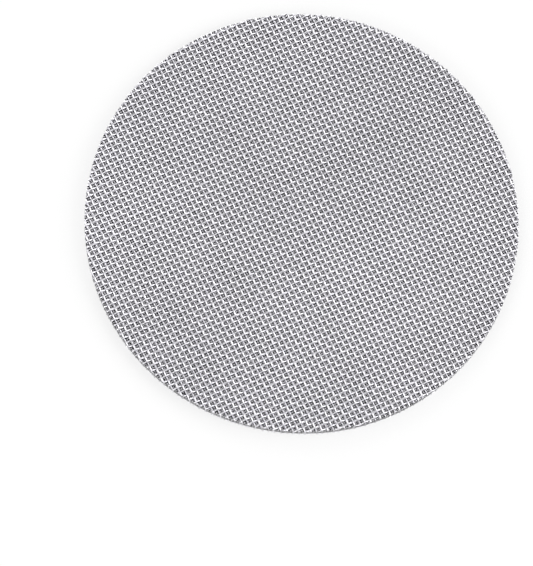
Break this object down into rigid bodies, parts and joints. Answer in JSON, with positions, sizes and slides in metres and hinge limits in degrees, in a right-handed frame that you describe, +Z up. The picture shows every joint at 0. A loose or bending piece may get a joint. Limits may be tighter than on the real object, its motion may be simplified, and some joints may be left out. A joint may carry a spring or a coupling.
{
  "type": "espresso puck screen",
  "caption": "Round stiff disc of sintered stainless wire mesh, plain woven on both faces, with a punched plain edge.",
  "frame": {"origin": "centre of the disc, on the plane of the lower crests that it rests on", "axes": "+Z up through the disc's thickness; +X and +Y along the two families of wires"},
  "size_m": [0.0584, 0.0584, 0.0017],
  "materials": {
    "steel_mesh": "bright woven stainless wire, lightly rolled on the crests"
  },
  "bodies": {
    "root": {"puck_screen": "steel_mesh"}
  },
  "joints": []
}
